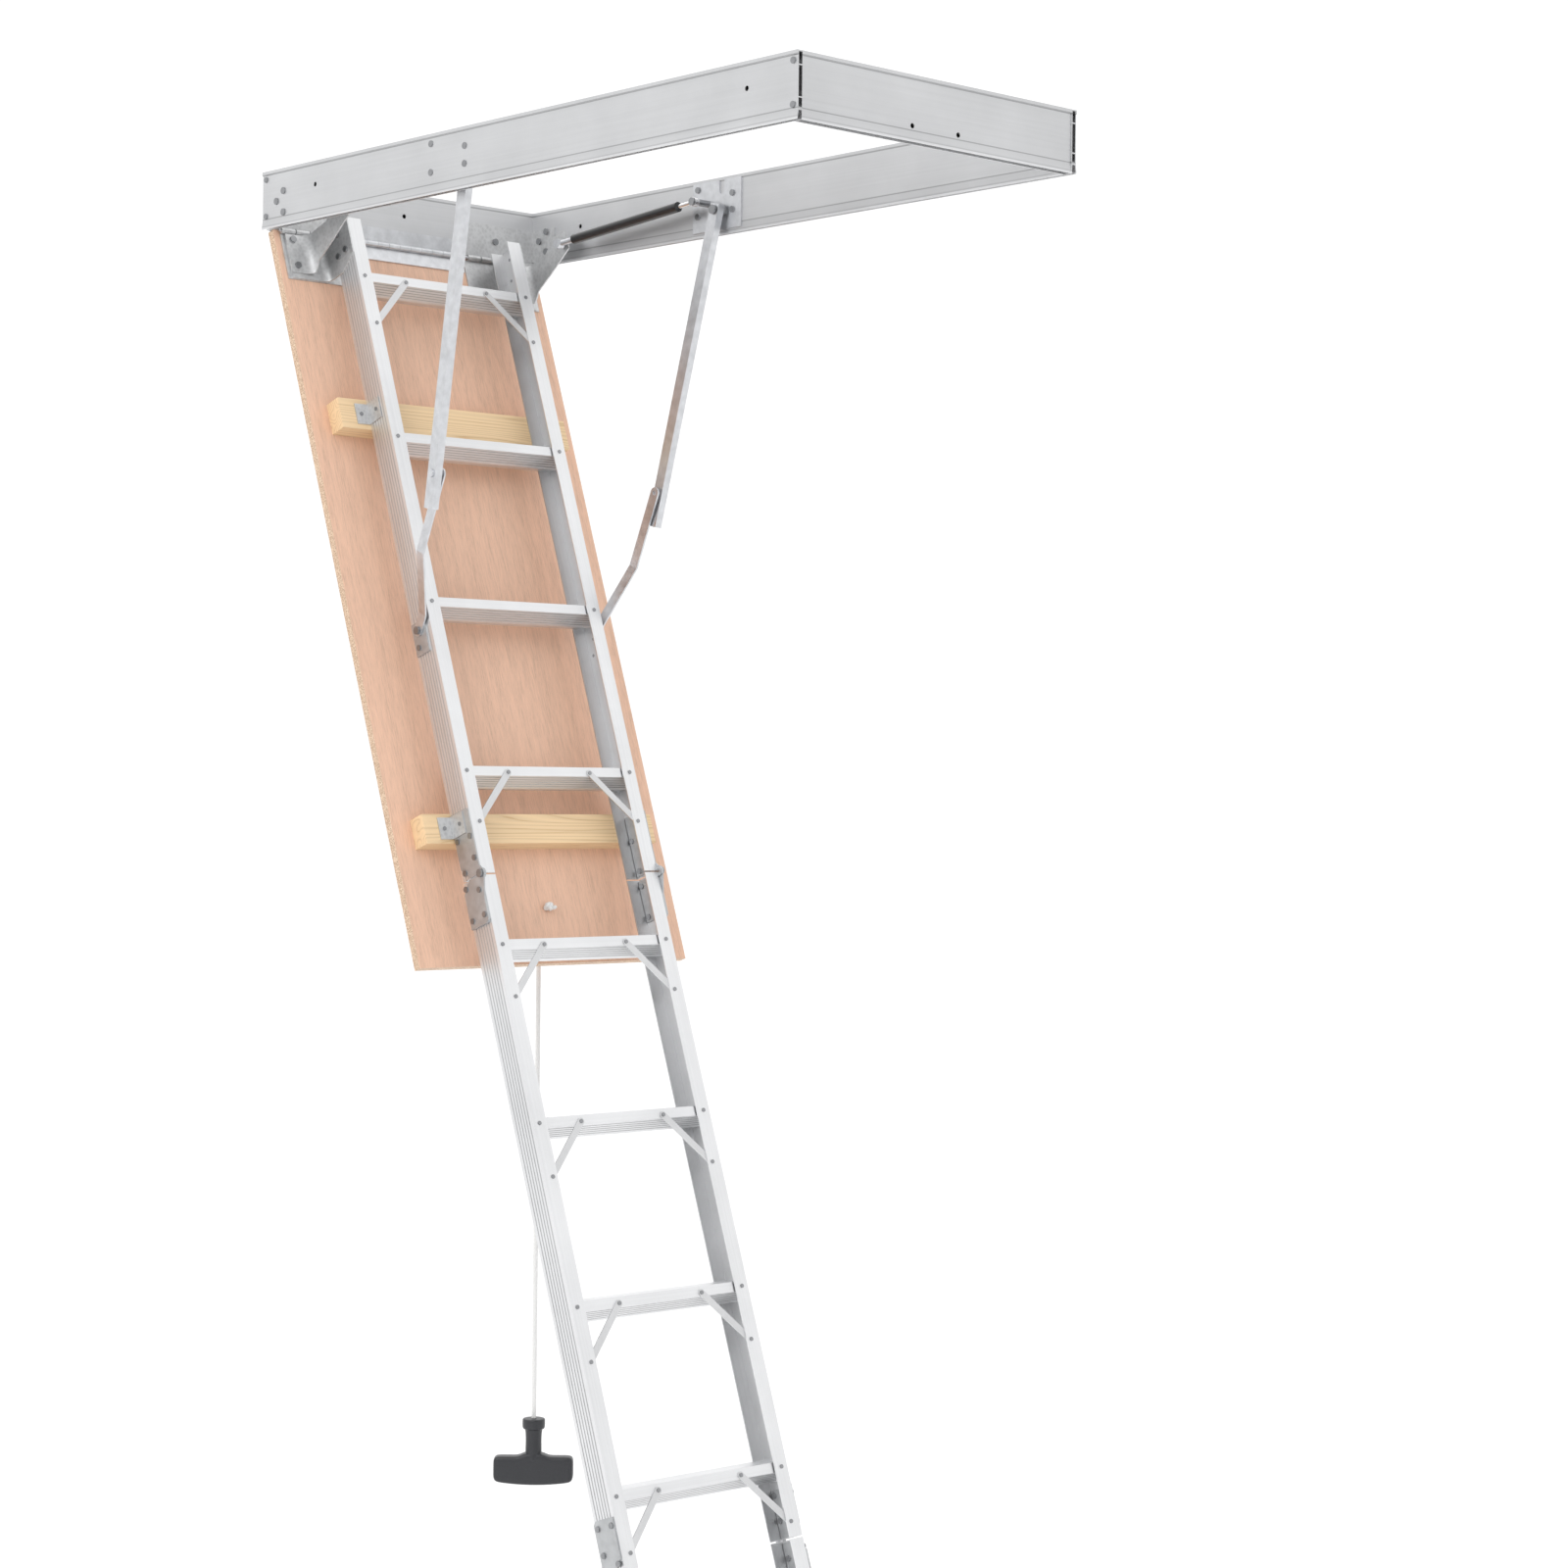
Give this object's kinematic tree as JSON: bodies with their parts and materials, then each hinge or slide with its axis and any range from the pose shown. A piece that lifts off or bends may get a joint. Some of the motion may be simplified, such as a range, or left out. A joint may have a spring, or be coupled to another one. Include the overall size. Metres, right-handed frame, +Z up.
{
  "type": "attic ladder",
  "caption": "Attic ladder: hatch frame with a hinged door on folding arms and gas struts, a ladder that folds in sections, slide-out legs with rubber feet, and a pull cord with a T-handle.",
  "frame": {"origin": "middle of the hatch frame's hinge end, at the outer face and the underside of the frame", "axes": "+X along the frame from the hinge end to the free end, +Y across the frame, +Z up"},
  "size_m": [1.372, 0.6, 3.2308],
  "materials": {
    "frame_aluminium": "mill finish, extruded",
    "ladder_aluminium": "mill finish, extruded with fine ribs",
    "galvanised_steel": "galvanised, dull",
    "zinc_steel": "bright zinc plated",
    "bright_rod": "polished",
    "strut_black": "gloss black",
    "door_board": "tan veneered board with fine vertical grain",
    "pine": "planed pale pine",
    "white_cord": "braided white cord",
    "handle_plastic": "dark satin",
    "foot_rubber": "matt black"
  },
  "bodies": {
    "frame": {"board_left": "frame_aluminium", "board_right": "frame_aluminium", "board_hinge": "frame_aluminium", "board_free": "frame_aluminium", "frame_screws": "zinc_steel", "fixed_plates": "galvanised_steel", "hinge_leaf_fixed": "zinc_steel", "hinge_pin": "zinc_steel", "plate_bolts": "zinc_steel", "arm_plates": "zinc_steel", "arm_rivets": "zinc_steel", "frame_pins": "zinc_steel"},
    "door": {"door_panel": "door_board", "hinge_leaf_door": "zinc_steel", "door_plates": "galvanised_steel", "stile_brackets": "galvanised_steel", "strut_brackets": "galvanised_steel", "bracket_bolts": "zinc_steel", "battens": "pine", "batten_brackets": "galvanised_steel", "batten_screws": "zinc_steel", "cord_knot": "white_cord", "stile_upper_l": "ladder_aluminium", "stile_upper_r": "ladder_aluminium", "treads_upper": "ladder_aluminium", "braces_upper": "ladder_aluminium", "plates_upper": "zinc_steel", "rivets_upper": "zinc_steel"},
    "middle": {"stile_middle_l": "ladder_aluminium", "stile_middle_r": "ladder_aluminium", "treads_middle": "ladder_aluminium", "braces_middle": "ladder_aluminium", "plates_middle": "zinc_steel", "rivets_middle": "zinc_steel"},
    "lower": {"stile_lower_l": "ladder_aluminium", "stile_lower_r": "ladder_aluminium", "treads_lower": "ladder_aluminium", "braces_lower": "ladder_aluminium", "plates_lower": "zinc_steel", "rivets_lower": "zinc_steel"},
    "leg_l_set": {"leg_l": "ladder_aluminium", "leg_bolts_l": "zinc_steel", "foot_l": "foot_rubber"},
    "arm_l_set": {"arm_l": "zinc_steel"},
    "link_l_set": {"link_l": "zinc_steel"},
    "strut_rod_l_set": {"strut_rod_l": "bright_rod"},
    "strut_tube_l_set": {"strut_tube_l": "strut_black", "strut_end_l": "zinc_steel"},
    "leg_r_set": {"leg_r": "ladder_aluminium", "leg_bolts_r": "zinc_steel", "foot_r": "foot_rubber"},
    "arm_r_set": {"arm_r": "zinc_steel"},
    "link_r_set": {"link_r": "zinc_steel"},
    "strut_rod_r_set": {"strut_rod_r": "bright_rod"},
    "strut_tube_r_set": {"strut_tube_r": "strut_black", "strut_end_r": "zinc_steel"},
    "cord": {"pull_cord": "white_cord", "pull_handle": "handle_plastic"}
  },
  "joints": [
    {"name": "door_hinge", "type": "hinge", "parent": "frame", "child": "door", "pos_m": [0.026, 0, -0.001], "axis": [0, -1, 0], "range_deg": [0, 66]},
    {"name": "middle_fold", "type": "hinge", "parent": "door", "child": "middle", "pos_m": [0.51009, 0, -1.11305], "axis": [0, -1, 0], "range_deg": [0, 180]},
    {"name": "lower_fold", "type": "hinge", "parent": "middle", "child": "lower", "pos_m": [0.83785, 0, -2.22132], "axis": [0, 1, 0], "range_deg": [0, 180]},
    {"name": "leg_slide_l", "type": "slide", "parent": "lower", "child": "leg_l_set", "axis": [-0.3355, 0, 0.9421], "range_m": [0, 0.022]},
    {"name": "leg_slide_r", "type": "slide", "parent": "lower", "child": "leg_r_set", "axis": [-0.3355, 0, 0.9421], "range_m": [0, 0.022]},
    {"name": "arm_pivot_l", "type": "hinge", "parent": "frame", "child": "arm_l_set", "pos_m": [0.554, 0, 0.04], "axis": [0, -1, 0], "range_deg": [0, 109]},
    {"name": "link_pivot_l", "type": "hinge", "parent": "door", "child": "link_l_set", "pos_m": [0.32912, 0, -0.70618], "axis": [0, -1, 0], "range_deg": [-112, 0]},
    {"name": "strut_swing_l", "type": "hinge", "parent": "frame", "child": "strut_rod_l_set", "pos_m": [0.518, 0, 0.056], "axis": [0, -1, 0], "range_deg": [-12.2, 0]},
    {"name": "strut_slide_l", "type": "slide", "parent": "strut_rod_l_set", "child": "strut_tube_l_set", "axis": [-0.9967, 0, -0.0811], "range_m": [0, 0.0965]},
    {"name": "arm_pivot_r", "type": "hinge", "parent": "frame", "child": "arm_r_set", "pos_m": [0.554, 0, 0.04], "axis": [0, -1, 0], "range_deg": [0, 109]},
    {"name": "link_pivot_r", "type": "hinge", "parent": "door", "child": "link_r_set", "pos_m": [0.32912, 0, -0.70618], "axis": [0, -1, 0], "range_deg": [-112, 0]},
    {"name": "strut_swing_r", "type": "hinge", "parent": "frame", "child": "strut_rod_r_set", "pos_m": [0.518, 0, 0.056], "axis": [0, -1, 0], "range_deg": [-12.2, 0]},
    {"name": "strut_slide_r", "type": "slide", "parent": "strut_rod_r_set", "child": "strut_tube_r_set", "axis": [-0.9967, 0, -0.0811], "range_m": [0, 0.0965]},
    {"name": "cord_swing", "type": "hinge", "parent": "door", "child": "cord", "pos_m": [0.42447, 0, -1.18175], "axis": [0, -1, 0], "range_deg": [-66.5, 0]}
  ],
  "couplings": [
    {"joint": "lower_fold", "follows": "middle_fold", "ratio": 1},
    {"joint": "leg_slide_r", "follows": "leg_slide_l", "ratio": 1},
    {"joint": "cord_swing", "follows": "door_hinge", "ratio": -1},
    {"joint": "arm_pivot_l", "follows": "door_hinge", "ratio": 1.6454},
    {"joint": "link_pivot_l", "follows": "door_hinge", "ratio": -1.6885},
    {"joint": "strut_swing_l", "follows": "door_hinge", "ratio": -0.1801},
    {"joint": "strut_slide_l", "follows": "door_hinge", "m_per_rad": 0.0828},
    {"joint": "arm_pivot_r", "follows": "door_hinge", "ratio": 1.6454},
    {"joint": "link_pivot_r", "follows": "door_hinge", "ratio": -1.6885},
    {"joint": "strut_swing_r", "follows": "door_hinge", "ratio": -0.1801},
    {"joint": "strut_slide_r", "follows": "door_hinge", "m_per_rad": 0.0828}
  ]
}
